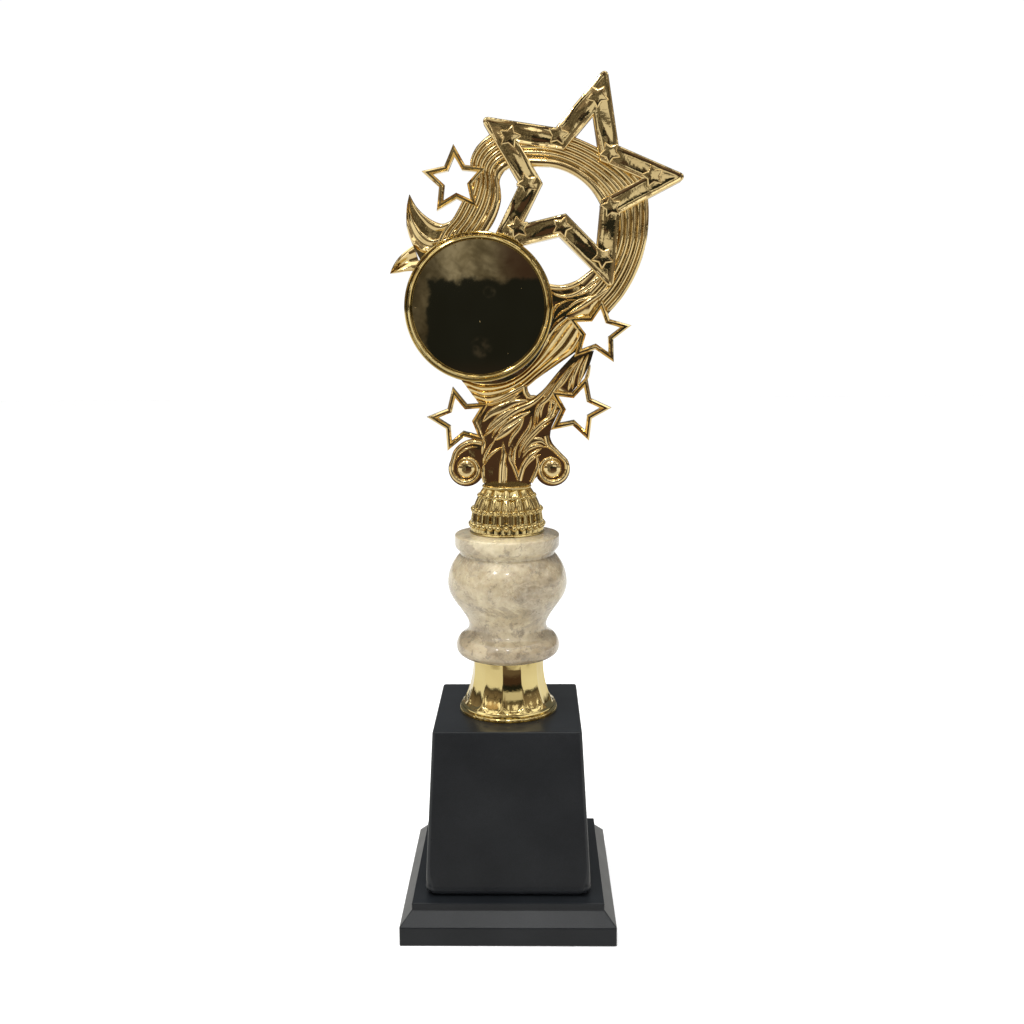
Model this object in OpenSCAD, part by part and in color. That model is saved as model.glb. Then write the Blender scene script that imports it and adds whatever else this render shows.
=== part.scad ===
// Star trophy: a gold-plated openwork figure on a turned stone column and a black stepped base.
// One threaded rod runs up the middle and clamps the whole stack between two nuts and the figure.
// Millimetres. +Z is up, the front faces -Y, and the origin is where the rod's axis meets the ground.

/* [Base] */
// Width of the square plinth at the ground
plinth_w = 83.6; // [78:0.1:110]
// Height of the plinth's upright edge
fascia_h = 7.6; // [6:0.1:9]
// Height of the sloping band above the edge
slope_h = 4.8; // [3.5:0.1:6]
// How far the sloping band leans in on each side
slope_in = 4.5; // [3:0.1:5]
// Height of the small step under the block
step_h = 2.8; // [2.6:0.1:4]
// Width of the tapered block at its foot
block_foot_w = 65; // [60:0.1:66]
// Width of the tapered block at its top
block_top_w = 57.6; // [46:0.1:60]
// Height of the tapered block
block_h = 66.3; // [50:0.1:90]
// Rounding of the block's lower corners
block_round = 3; // [1:0.1:4]
// Wall of the moulded plastic base
shell = 2.4; // [2:0.1:2.6]

/* [Column] */
// Height of the fluted collar
collar_h = 23; // [20:0.5:30]
// Radius of the collar's foot
collar_foot_r = 19.8; // [18:0.1:22]
// Radius of the collar's top
collar_top_r = 14.3; // [12:0.1:16]
// Flutes round the collar
flutes = 12; // [8:1:16]
// Height of the stone column
stone_h = 50; // [45:1:60]
// Radius of the stone's belly
stone_belly_r = 23.8; // [21:0.1:26]
// Radius of the hole drilled through the stone
stone_bore_r = 4; // [3.5:0.1:6]
// Height of the beaded seat
seat_h = 19; // [18:0.5:24]
// Radius of the beaded seat's widest bead row
seat_r = 15.2; // [14:0.1:17]

/* [Figure] */
// Thickness of the figure's ribbons and stem
core_t = 4.4; // [3:0.1:5]
// Thickness of the large star
star_t = 7; // [6:0.1:8]
// Radius to the large star's points
star_r = 41; // [38:0.5:42]
// Radius to the large star's notches
star_notch_r = 20.8; // [19:0.1:22]
// Width of the large star's band
star_band = 7.8; // [7:0.1:9.5]
// Thickness of the small stars
small_t = 5.2; // [5.1:0.1:7]
// Radius to a small star's points
small_r = 13.2; // [12:0.1:14]
// Radius to a small star's notches
small_notch_r = 6.7; // [6:0.1:7]
// Width of a small star's band
small_band = 2; // [1.6:0.1:2.4]
// Outer radius of the medal holder
holder_r = 28.5; // [28:0.1:30]
// Radius of the recess for a two inch medal centre
recess_r = 25.8; // [25.5:0.1:26.5]
// Depth of that recess
recess_depth = 2.6; // [2:0.1:3]

/* [Fixings] */
// Radius of the M6 rod
rod_r = 2.95; // [2.5:0.05:2.95]
// Radius of the clearance holes round the rod
rod_hole_r = 3.3; // [3.2:0.1:3.6]

/* [Hidden] */
$fn = 96;
eps = 0.02; // keeps a cutting tool clear of a shared face
gap = 0.05; // between a turned wall and the flat piece that meets it

gold = [0.83, 0.66, 0.30];
black = [0.10, 0.11, 0.12];
cream = [0.80, 0.75, 0.66];
steel = [0.70, 0.71, 0.73];

// Heights of the stack
slope_z = fascia_h + slope_h;
plinth_h = slope_z + step_h;
step_w = plinth_w - 2 * slope_in;
block_z = plinth_h + block_h;
collar_z = block_z + collar_h;
stone_z = collar_z + stone_h;
figure_z = stone_z + seat_h;

// Base
felt_t = 1;
cover_t = 2;
cover_w = plinth_w - 2 * shell;
locator_h = 2; // square pad that centres the block on the plinth
block_wall = 2.2;
block_roof = 3;
ballast_w = 50;
ballast_h = 28;

// Fixings
thread_r = 3;
washer_r = 9;
washer_t = 1.2;
nut_flats = 10;
nut_t = 5;
rod_tail = 1.6; // rod left below the lower nut
insert_r = 4;
insert_l = 8;
boss_r = 5.6;
boss_z = figure_z - 10;
flange_r = 8.6;
flange_z = figure_z - 1; // the flange sits in the seat's rim, and the stem stands on it
rod_top = boss_z + insert_l - 0.5;

// Collar and seat
collar_wall = 1.3;
collar_neck_h = 3;
collar_rim_h = 1.6;
flute_r = 11;
flute_depth = 0.8;
flute_turn = 360 / flutes / 2 - 90 - 7;
seat_wall = 1.6;

// Figure: points are [x, height above the seat]
star_at = [26.4, 114.5];
star_turn = 2;
holder_at = [-10.2, 68.5];
upper_left_at = [-18.3, 115.5];
lower_left_at = [-17.8, 25.4];
right_at = [35.4, 58.9];
lower_right_at = [27.8, 29.4];
upper_left_turn = 92.6;
lower_left_turn = 102.5;
right_turn = 82.6;
lower_right_turn = 74;
holder_t = 6;
lip_r = 27.7;
lip_h = 2.2;
disc_r = 25;
disc_t = 0.8;
scroll_r = 7;

// Outer edge of the ribbon: from the crescent's horn, over the top and down the right side
crescent_hollow = [[-35.8, 110.6], [-33.6, 106.6], [-30.6, 103.3], [-27, 100.8], [-23.6, 99.7],
                   [-20.5, 100.7], [-17.9, 103.3], [-15.9, 107.3], [-13.7, 112], [-12.3, 117.3],
                   [-12.6, 122.4], [-10.9, 126.7], [-8.3, 129.6], [-4.2, 132.6], [1, 134.3],
                   [9, 134.7], [18, 133.2], [26.2, 130.8], [32.1, 128.1], [38.5, 125.2],
                   [45.5, 121.8], [51.3, 117], [54, 110]];
ring_outer_at = [5.1, 101.2];
ring_outer_r = 49.3;
ring_outer_end = -45.5;
// Inner edge of the ribbon, up from the medal holder to the ring's window
bend_inner = [[-10, 93], [-6.3, 96.9], [-3.6, 101.2], [-1.7, 106.2], [-1.2, 110], [-1.8, 113.6],
              [-1.5, 116.2], [0.2, 118.8], [3, 120.2], [7, 120.4]];
ring_inner_at = [13.65, 95.2];
ring_inner_r = 25.15;
ring_inner_fall = [[38.2, 92], [35.6, 85.6], [32.2, 81.4]];
ring_foot = [[40, 77], [31.5, 69.5], [23.2, 64.6]];
crescent_back = [[-32, 86], [-35.1, 92.3], [-36.2, 95.6], [-37.2, 100.4], [-37, 105]];
tail = [[-35.1, 92.3], [-37.8, 89.7], [-40.6, 87.2], [-42.7, 84.2], [-44, 81.3], [-41.1, 81.6],
        [-37.6, 82.3], [-34, 82.3], [-32, 86]];

// Swoosh: the arc under the ring's window, then the band under the medal holder
window_arc_at = [19, 96];
window_arc_r = 19.45;
swoosh_inside = [[12, 72], [0, 45], [-10, 41.5]]; // inside the medal holder, which cuts it away
swoosh_left = [[-17.3, 40.9], [-13.9, 36.7], [-11.2, 33.2], [-8.5, 31.2]];
stem_seam = [[-6.2, 30.5], [-0.2, 33.2], [5.6, 37], [7.8, 35.4]];
slot_top = [[8.2, 38.1], [13.2, 41.9], [20.9, 47.2], [27.5, 51.7]];
swoosh_end = [[28.5, 55], [25, 61]];

// Stem: flames that rise from the foot to the ribbon
slot_bottom = [[9.3, 33.8], [11.7, 34.6], [15.2, 37.7], [20.9, 44.5], [27.1, 51]];
stem_right = [[34, 51.7], [32.5, 46.8], [30.6, 42.9], [28.7, 39.9], [25.5, 35.8], [22, 31],
              [19.6, 26.5], [17.6, 22], [17.1, 18.6]];
stem_right_seam = [[13.5, 15.5], [11.3, 11.5], [10.9, 7], [12, 3]];
foot = [[10.2, 1.2], [9.4, 0], [-8.6, 0], [-8.9, 0.7]];
stem_left_seam = [[-10, 2.8], [-9.2, 7], [-9.6, 12], [-10.5, 17.5]];
stem_left = [[-10.2, 21], [-11.6, 24.7], [-10.6, 28], [-8.5, 31.2]];

// Scrolls
left_scroll_at = [-15.8, 6.2];
right_scroll_at = [17.9, 6.1];
left_leaf = [[-21.3, 10.6], [-18.1, 14.1], [-14.2, 17.2]];
right_leaf = [[18.2, 15.9], [21, 12.7], [23.3, 9.6]];

function reversed(p) = [for (i = [len(p) - 1 : -1 : 0]) p[i]];
function dir(a) = [cos(a), sin(a)];
function arc(c, r, a0, a1, n) = [for (i = [0 : n]) c + r * dir(a0 + (a1 - a0) * i / n)];
// A smooth open curve through the points, with n steps between two of them
function bend(a, b, c, d, t) =
    0.5 * (2 * b + (c - a) * t + (2 * a - 5 * b + 4 * c - d) * t * t + (3 * b - a - 3 * c + d) * t * t * t);
function smooth(p, n = 4) = concat(
    [for (i = [0 : len(p) - 2], k = [0 : n - 1])
        bend(p[max(i - 1, 0)], p[i], p[i + 1], p[min(i + 2, len(p) - 1)], k / n)],
    [p[len(p) - 1]]);
// A five-pointed outline, moved in by w all round
function star_points(at, r, notch_r, turn, w = 0) =
    let (dx = r - notch_r * cos(36),
         dy = notch_r * sin(36),
         tip = atan2(dy, dx),
         r_in = r - w / sin(tip),
         n_in = notch_r - w / sin(tip + 36))
    [for (i = [0 : 9]) at + (i % 2 == 0 ? r_in : n_in) * dir(turn + 36 * i)];

// Lays a flat outline of the figure upright, centred on Y = 0
module upright(t) {
    translate([0, 0, figure_z]) rotate([90, 0, 0]) linear_extrude(t, center = true) children();
}

// A disc or ring facing the front, from y0 to y1
module front_round(at, r, y0, y1) {
    translate([at[0], y1, figure_z + at[1]]) rotate([90, 0, 0]) cylinder(r = r, h = y1 - y0);
}

// A square solid whose side view is the same from the front and from the side
module four_sided(w) {
    intersection() {
        rotate([90, 0, 0]) linear_extrude(w, center = true) children();
        rotate([90, 0, 90]) linear_extrude(w, center = true) children();
    }
}

module square_plate(w, z0, z1) {
    translate([-w / 2, -w / 2, z0]) cube([w, w, z1 - z0]);
}

module post(r, z0, z1) {
    translate([0, 0, z0]) cylinder(r = r, h = z1 - z0);
}

// ---- Base ----

module plinth() {
    a = plinth_w / 2;
    s = step_w / 2;
    roof_z = plinth_h - shell;
    outline = [[-a, 0], [a, 0], [a, fascia_h], [s, slope_z], [s, plinth_h], [-s, plinth_h], [-s, slope_z],
               [-a, fascia_h]];
    hollow = [[shell - a, -1], [a - shell, -1], [a - shell, fascia_h - 1], [s - shell, slope_z - 1],
              [s - shell, roof_z], [shell - s, roof_z], [shell - s, slope_z - 1], [shell - a, fascia_h - 1]];
    color(black) difference() {
        union() {
            difference() {
                four_sided(2 * plinth_w) polygon(outline);
                four_sided(2 * plinth_w) polygon(hollow);
            }
            square_plate(ballast_w + 4, plinth_h - eps, plinth_h + locator_h);
        }
        post(rod_hole_r, 0, plinth_h + 5);
    }
}

module base_cover() {
    color([0.45, 0.33, 0.22]) square_plate(cover_w, felt_t, felt_t + cover_t);
}

module felt_pad() {
    color([0.07, 0.16, 0.11]) square_plate(cover_w, 0, felt_t);
}

module pedestal_block() {
    f = block_foot_w / 2;
    t = block_top_w / 2;
    lean = (f - t) / block_h;
    r = block_round;
    low = [f - r, plinth_h + r];
    outline = concat([[-t, block_z]],
                     arc([-low[0], low[1]], r, 180, 270, 6),
                     arc(low, r, -90, 0, 6),
                     [[t, block_z]]);
    inner_top = block_z - block_roof;
    wall_top = t + lean * block_roof - block_wall;
    wall_foot = f - block_wall - 1;
    hollow = [[-wall_top, inner_top], [-wall_foot, plinth_h - 1], [wall_foot, plinth_h - 1], [wall_top, inner_top]];
    color(black) difference() {
        four_sided(2 * block_foot_w) polygon(outline);
        four_sided(2 * block_foot_w) polygon(hollow);
        post(rod_hole_r, inner_top - 1, block_z + 1);
    }
}

module ballast_block() {
    z0 = plinth_h + locator_h;
    color([0.55, 0.54, 0.52]) difference() {
        square_plate(ballast_w, z0, z0 + ballast_h);
        post(rod_hole_r + 0.7, z0 - 1, z0 + ballast_h + 1);
    }
}

// ---- Fixings ----

lower_washer_z = plinth_h - shell - washer_t;

module tie_rod() {
    z0 = lower_washer_z - nut_t - rod_tail;
    color(steel) post(rod_r, z0, rod_top);
}

module hex_nut(z) {
    difference() {
        translate([0, 0, z]) cylinder(d = nut_flats / cos(30), h = nut_t, $fn = 6);
        post(thread_r, z - 1, z + nut_t + 1);
    }
}

module tie_nuts() {
    color(steel) {
        hex_nut(lower_washer_z - nut_t);
        hex_nut(stone_z + washer_t);
    }
}

module flat_washer(z) {
    difference() {
        post(washer_r, z, z + washer_t);
        post(rod_hole_r, z - 1, z + washer_t + 1);
    }
}

module tie_washers() {
    color(steel) {
        flat_washer(lower_washer_z);
        flat_washer(stone_z);
    }
}

module threaded_insert() {
    color([0.78, 0.60, 0.28]) difference() {
        post(insert_r, boss_z, boss_z + insert_l);
        post(thread_r, boss_z - 1, boss_z + insert_l + 1);
    }
}

// ---- Column ----

// The collar flares out along one arc, and each flute is cut by a ring that follows the same arc
module fluted_collar() {
    w = collar_wall;
    h = collar_h;
    spread = collar_foot_r - 0.4 - collar_top_r;
    fall = h - collar_neck_h - collar_rim_h;
    flare_r = (spread * spread + fall * fall) / (2 * spread);
    flare_at = [collar_top_r + flare_r, h - collar_neck_h];
    flare = arc(flare_at, flare_r, 180, 180 + asin(fall / flare_r), 14);
    hollow = concat([[0, -1], [collar_foot_r - w - 1, -1]],
                    [for (i = [14 : -2 : 0]) flare[i] - [w + flute_depth, 0]],
                    [[0, flare_at[1]]]);
    color(gold) translate([0, 0, block_z]) difference() {
        union() {
            difference() {
                rotate_extrude() polygon(concat([[0, h], [collar_top_r, h]], flare, [[0, collar_rim_h]]));
                for (i = [0 : flutes - 1])
                    rotate([0, 0, flute_turn + i * 360 / flutes])
                        translate([flare_at[0], 0, flare_at[1]])
                            rotate([90, 0, 0]) rotate_extrude()
                                translate([flare_r + flute_depth - flute_r, 0]) circle(flute_r);
            }
            cylinder(r = collar_foot_r, h = collar_rim_h);
        }
        rotate_extrude() polygon(hollow);
        cylinder(r = rod_hole_r, h = h + 1);
    }
}

module stone_column() {
    b = stone_belly_r;
    h = stone_h;
    foot_r = b - 3.1;
    profile = concat(
        [[0, 0], [foot_r - 3.4, 0]],
        arc([foot_r - 3.4, 3.4], 3.4, -72, 0, 4),
        smooth([[foot_r, 4.2], [foot_r - 0.3, 5.6], [b - 4.6, 7.6], [b - 6.6, 9], [b - 7.9, 10.7],
                [b - 8.2, 12.7], [b - 7.7, 14.6], [b - 6.3, 17.2], [b - 4.4, 20], [b - 2.3, 23],
                [b - 0.7, 26], [b, 29.6], [b - 0.5, 33.6], [b - 1.7, 36.9], [b - 3.6, 39.9],
                [b - 5.2, 41.7]]),
        [[b - 3.3, 44], [b - 3, 45]],
        arc([b - 4.8, h - 2.4], 1.8, 0, 90, 5),
        [[b - 8, h], [0, h]]);
    color(cream) translate([0, 0, collar_z]) difference() {
        rotate_extrude() polygon(profile);
        post(stone_bore_r, -1, h + 1);
    }
}

module beaded_seat() {
    s = seat_r;
    w = seat_wall;
    h = seat_h;
    outline = [[0, 0], [s - 0.5, 0], [s - 0.4, 1.6], [s, 3.4], [s, 4.4], [s - 0.6, 5.2], [s - 0.9, 7.6],
               [s - 1.1, 9.2], [s - 1.6, 10.4], [s - 3, 12.6], [s - 4.4, 15], [s - 5.9, 16.8],
               [s - 5.6, 17.4], [s - 5.6, h], [0, h]];
    hollow = [[0, -1], [s - 0.5 - w, -1], [s - w - 1, 8], [s - 3.6 - w, 12], [s - 6 - w, 14.4], [0, 14.4]];
    color(gold) translate([0, 0, stone_z]) difference() {
        rotate_extrude() polygon(outline);
        rotate_extrude() polygon(hollow);
        post(boss_r + 0.1, 10, h + 1);
        post(flange_r + 0.1, flange_z - stone_z, h + 1);
    }
}

// ---- Figure ----

module small_star_outline(at, turn) {
    polygon(star_points(at, small_r, small_notch_r, turn));
}

module small_star_window(at, turn) {
    polygon(star_points(at, small_r, small_notch_r, turn, small_band));
}

module ribbon_outline() {
    polygon(concat(smooth(crescent_hollow),
                   arc(ring_outer_at, ring_outer_r, 5, ring_outer_end, 16),
                   [[36.6, 59.5]],
                   reversed(ring_foot),
                   reversed(ring_inner_fall),
                   arc(ring_inner_at, ring_inner_r, 10, 96, 20),
                   reversed(smooth(bend_inner)),
                   smooth(crescent_back)));
}

module swoosh_outline() {
    polygon(concat(arc(window_arc_at, window_arc_r, -48, -95, 10),
                   swoosh_inside,
                   smooth(swoosh_left),
                   smooth(stem_seam),
                   smooth(slot_top),
                   swoosh_end,
                   reversed(ring_foot)));
}

module stem_outline() {
    polygon(concat(smooth(stem_seam),
                   smooth(slot_bottom),
                   smooth(stem_right),
                   smooth(stem_right_seam),
                   foot,
                   smooth(stem_left_seam),
                   smooth(stem_left)));
}

module scroll_left_outline() {
    polygon(concat(smooth(reversed(left_leaf)),
                   arc(left_scroll_at, scroll_r, 145, 329, 20),
                   smooth(stem_left_seam)));
}

module scroll_right_outline() {
    polygon(concat(smooth(concat([[17.1, 18.6]], right_leaf)),
                   arc(right_scroll_at, scroll_r, 30, -148, 20),
                   reversed(smooth(stem_right_seam))));
}

// Every opening that is cut through the ribbons and the stem
module core_cuts() {
    translate(holder_at) circle(r = holder_r + gap, $fn = 180);
    small_star_window(upper_left_at, upper_left_turn);
    small_star_window(lower_left_at, lower_left_turn);
    small_star_window(right_at, right_turn);
    small_star_window(lower_right_at, lower_right_turn);
}

module core(t = core_t) {
    color(gold) upright(t) difference() {
        children(0);
        core_cuts();
    }
}

module orbit_ribbon() { core() ribbon_outline(); }
module swoosh_band() { core() swoosh_outline(); }
module flame_stem() { core() stem_outline(); }
module scroll_left() { core() scroll_left_outline(); }
module scroll_right() { core() scroll_right_outline(); }
module tail_flame() { core() polygon(smooth(tail)); }

// The stars straddle the ribbons, so they are slotted where a ribbon passes through them
module core_slot() {
    upright(core_t) difference() {
        union() {
            ribbon_outline();
            swoosh_outline();
            stem_outline();
            scroll_left_outline();
        }
        core_cuts();
    }
}

module star_frame() {
    color(gold) difference() {
        upright(star_t) difference() {
            polygon(star_points(star_at, star_r, star_notch_r, star_turn));
            polygon(star_points(star_at, star_r, star_notch_r, star_turn, star_band));
            translate(holder_at) circle(r = holder_r + gap, $fn = 180);
        }
        core_slot();
    }
}

module small_star(at, turn) {
    color(gold) difference() {
        upright(small_t) difference() {
            small_star_outline(at, turn);
            small_star_window(at, turn);
        }
        core_slot();
    }
}

module small_star_upper_left() { small_star(upper_left_at, upper_left_turn); }
module small_star_lower_left() { small_star(lower_left_at, lower_left_turn); }
module small_star_right() { small_star(right_at, right_turn); }
module small_star_lower_right() { small_star(lower_right_at, lower_right_turn); }

module medal_holder() {
    front = -holder_t / 2;
    floor_y = front - lip_h + recess_depth;
    color(gold) difference() {
        union() {
            front_round(holder_at, holder_r, front, -front);
            front_round(holder_at, lip_r, front - lip_h, front + eps);
        }
        front_round(holder_at, recess_r, front - lip_h - 1, floor_y);
        front_round(holder_at, disc_r + gap, floor_y - 1, floor_y + disc_t);
    }
}

module medal_disc() {
    floor_y = -holder_t / 2 - lip_h + recess_depth;
    color([0.62, 0.50, 0.25]) front_round(holder_at, disc_r, floor_y, floor_y + disc_t);
}

// The figure's foot: a flange that sits in the seat's rim and a boss that holds the threaded insert
module figure_stub() {
    color(gold) difference() {
        union() {
            post(flange_r, flange_z, figure_z);
            post(boss_r, boss_z, flange_z + eps);
        }
        post(insert_r, boss_z - 1, boss_z + insert_l);
    }
}

plinth();
base_cover();
felt_pad();
pedestal_block();
ballast_block();
tie_rod();
tie_nuts();
tie_washers();
fluted_collar();
stone_column();
beaded_seat();
figure_stub();
threaded_insert();
flame_stem();
scroll_left();
scroll_right();
swoosh_band();
orbit_ribbon();
tail_flame();
star_frame();
small_star_upper_left();
small_star_lower_left();
small_star_right();
small_star_lower_right();
medal_holder();
medal_disc();
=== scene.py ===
"""Star trophy: the looks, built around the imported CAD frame.

Lengths are in millimetres and meet Blender through MM. Points on the figure are [x, height above the seat].
"""
import math

import bmesh
import bpy
import numpy as np
from mathutils import Matrix, Vector


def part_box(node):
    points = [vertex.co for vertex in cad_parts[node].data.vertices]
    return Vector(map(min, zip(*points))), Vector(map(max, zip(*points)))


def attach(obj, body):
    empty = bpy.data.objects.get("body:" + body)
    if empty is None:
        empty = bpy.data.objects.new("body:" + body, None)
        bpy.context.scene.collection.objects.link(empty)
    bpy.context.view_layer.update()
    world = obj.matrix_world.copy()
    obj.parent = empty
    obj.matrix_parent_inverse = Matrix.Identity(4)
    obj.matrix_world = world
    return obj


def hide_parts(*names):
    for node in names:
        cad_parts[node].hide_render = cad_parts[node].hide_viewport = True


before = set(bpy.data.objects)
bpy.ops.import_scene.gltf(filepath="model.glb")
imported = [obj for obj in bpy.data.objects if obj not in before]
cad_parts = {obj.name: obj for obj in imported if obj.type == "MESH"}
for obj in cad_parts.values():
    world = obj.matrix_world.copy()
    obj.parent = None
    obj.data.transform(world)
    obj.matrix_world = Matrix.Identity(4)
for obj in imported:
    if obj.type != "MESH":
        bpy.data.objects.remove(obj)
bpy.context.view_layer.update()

MM = 0.001
BODY = "root"


def box_mm(node):
    low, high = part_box(node)
    return np.array(low) / MM, np.array(high) / MM


BLOCK_Z = box_mm("pedestal_block")[0][2]
COLLAR_Z = box_mm("fluted_collar")[0][2]
STONE_Z = box_mm("stone_column")[0][2]
SEAT_Z = box_mm("beaded_seat")[0][2]
FIGURE_Z = box_mm("beaded_seat")[1][2]

# ---------------- camera

CAMERA_AT = (9.66, -430.0, 237.1)
CAMERA_TURN = 1.02
CAMERA_DOWN = 9.88
CAMERA_ROLL = -0.42
CAMERA_LENS = 38.72


def make_camera():
    data = bpy.data.cameras.new("camera")
    data.sensor_width = 36
    data.lens = CAMERA_LENS
    data.clip_start = 0.01
    camera = bpy.data.objects.new("camera", data)
    bpy.context.scene.collection.objects.link(camera)
    camera.matrix_world = (
        Matrix.Translation(Vector(CAMERA_AT) * MM)
        @ Matrix.Rotation(math.radians(CAMERA_TURN), 4, "Z")
        @ Matrix.Rotation(math.radians(90 - CAMERA_DOWN), 4, "X")
        @ Matrix.Rotation(math.radians(CAMERA_ROLL), 4, "Z")
    )
    bpy.context.scene.camera = camera


make_camera()

# ---------------- materials


class Nodes:
    """A material's node tree, with short calls for adding nodes and links."""

    def __init__(self, name):
        self.material = bpy.data.materials.new(name)
        self.material.use_nodes = True
        self.tree = self.material.node_tree
        self.shader = self.tree.nodes["Principled BSDF"]

    def add(self, kind, inputs=None, **settings):
        node = self.tree.nodes.new("ShaderNode" + kind)
        for key, value in settings.items():
            setattr(node, key, value)
        for key, value in (inputs or {}).items():
            if isinstance(value, bpy.types.NodeSocket):
                self.tree.links.new(value, node.inputs[key])
            else:
                node.inputs[key].default_value = value
        return node

    def set(self, **values):
        for key, value in values.items():
            self.shader.inputs[key.replace("_", " ")].default_value = value

    def link(self, socket, name):
        self.tree.links.new(socket, self.shader.inputs[name])

    def tint(self, fac, dark, pale, places=(0.3, 0.7)):
        self.link(self.ramp(fac, zip(places, (dark, pale))), "Base Color")

    def position(self):
        return self.add("TexCoord").outputs["Object"]

    def noise(self, scale, detail=3, rough=0.5, distortion=0, at=None):
        inputs = {"Vector": at or self.position(), "Scale": scale, "Detail": detail}
        inputs.update({"Roughness": rough, "Distortion": distortion})
        return self.add("TexNoise", inputs).outputs["Fac"]

    def ramp(self, fac, stops):
        node = self.add("ValToRGB", {"Fac": fac})
        elements = node.color_ramp.elements
        stops = list(stops)
        while len(elements) < len(stops):
            elements.new(0.5)
        for element, (place, color) in zip(elements, stops):
            element.position = place
            element.color = (*color, 1)
        return node.outputs["Color"]

    def calc(self, operation, a, b, c=0.0):
        return self.add("Math", {0: a, 1: b, 2: c}, operation=operation).outputs["Value"]

    def spread(self, fac, low, high):
        """Maps a 0 to 1 value to low to high."""
        inputs = {"Value": fac, "To Min": low, "To Max": high}
        return self.add("MapRange", inputs).outputs["Result"]

    def mix(self, fac, a, b, blend="MIX"):
        node = self.add("Mix", data_type="RGBA", blend_type=blend)
        for socket, value in zip([node.inputs[0], node.inputs[6], node.inputs[7]], [fac, a, b]):
            if isinstance(value, bpy.types.NodeSocket):
                self.tree.links.new(value, socket)
            else:
                socket.default_value = value
        return node.outputs[2]

    def bump(self, height, distance, strength=1.0, under=None):
        inputs = {"Height": height, "Distance": distance, "Strength": strength}
        if under:
            inputs["Normal"] = under
        return self.add("Bump", inputs).outputs["Normal"]


def gold_plating():
    """Bright plating over moulded plastic: slow waves and a fine orange peel in the surface."""
    n = Nodes("gold_plating")
    n.set(Metallic=1.0)
    n.tint(n.noise(70, 2), (0.70, 0.53, 0.255), (0.82, 0.645, 0.33))
    n.link(n.spread(n.noise(220, 4), 0.015, 0.085), "Roughness")
    waves = n.bump(n.noise(130, 1), 0.0006, 0.4)
    peel = n.bump(n.noise(900, 2), 0.00005, 0.5, waves)
    n.link(peel, "Normal")
    return n.material


def shaded_turned_gold(name, dark, pale):
    """The same plating on the round parts, whose surface is smoother, in colours darker than the plating's
    own: painted shade.
    """
    n = Nodes(name)
    n.set(Metallic=1.0)
    n.tint(n.noise(60, 2), dark, pale)
    n.link(n.spread(n.noise(200, 3), 0.03, 0.10), "Roughness")
    waves = n.bump(n.noise(60, 1), 0.0005, 0.25)
    n.link(n.bump(n.noise(800, 2), 0.00004, 0.4, waves), "Normal")
    return n.material


def mirror_floor():
    """The flat mirror in the recess, with dust specks and faint wipe marks."""
    n = Nodes("mirror_floor")
    n.set(Metallic=1.0)
    n.tint(n.noise(45, 2), (0.52, 0.42, 0.24), (0.64, 0.54, 0.34), (0.3, 0.75))
    dust = n.add("TexVoronoi", {"Vector": n.position(), "Scale": 170.0}).outputs["Distance"]
    specks = n.calc("LESS_THAN", dust, 0.045)
    wipes = n.spread(n.noise(60, 5, 0.65), 0.0, 0.03)
    n.link(n.calc("MAXIMUM", wipes, specks), "Roughness")
    n.link(n.bump(n.noise(30, 2), 0.0004, 0.05), "Normal")
    return n.material


def black_plastic():
    """Satin black moulding with a fine texture and a few paler scuffs."""
    n = Nodes("black_plastic")
    patches = n.ramp(n.noise(40, 4), [
        (0.3, (0.0075, 0.0088, 0.0108)), (0.75, (0.0120, 0.0135, 0.0158))])
    grains = n.ramp(n.noise(2200, 2, 0.5), [
        (0.36, (0.82, 0.82, 0.80)), (0.64, (1.06, 1.08, 1.06))])
    n.link(n.mix(1.0, patches, grains, "MULTIPLY"), "Base Color")
    n.link(n.spread(n.noise(120, 5, 0.6), 0.24, 0.36), "Roughness")
    grain = n.bump(n.noise(1300, 2, 0.5), 0.00002, 0.25)
    n.link(n.bump(n.noise(25, 1), 0.0008, 0.06, grain), "Normal")
    n.set(Specular_IOR_Level=0.34)
    return n.material


FOOT_SHADE_TOP, FOOT_SHADE_FULL = 22, 6


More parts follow.
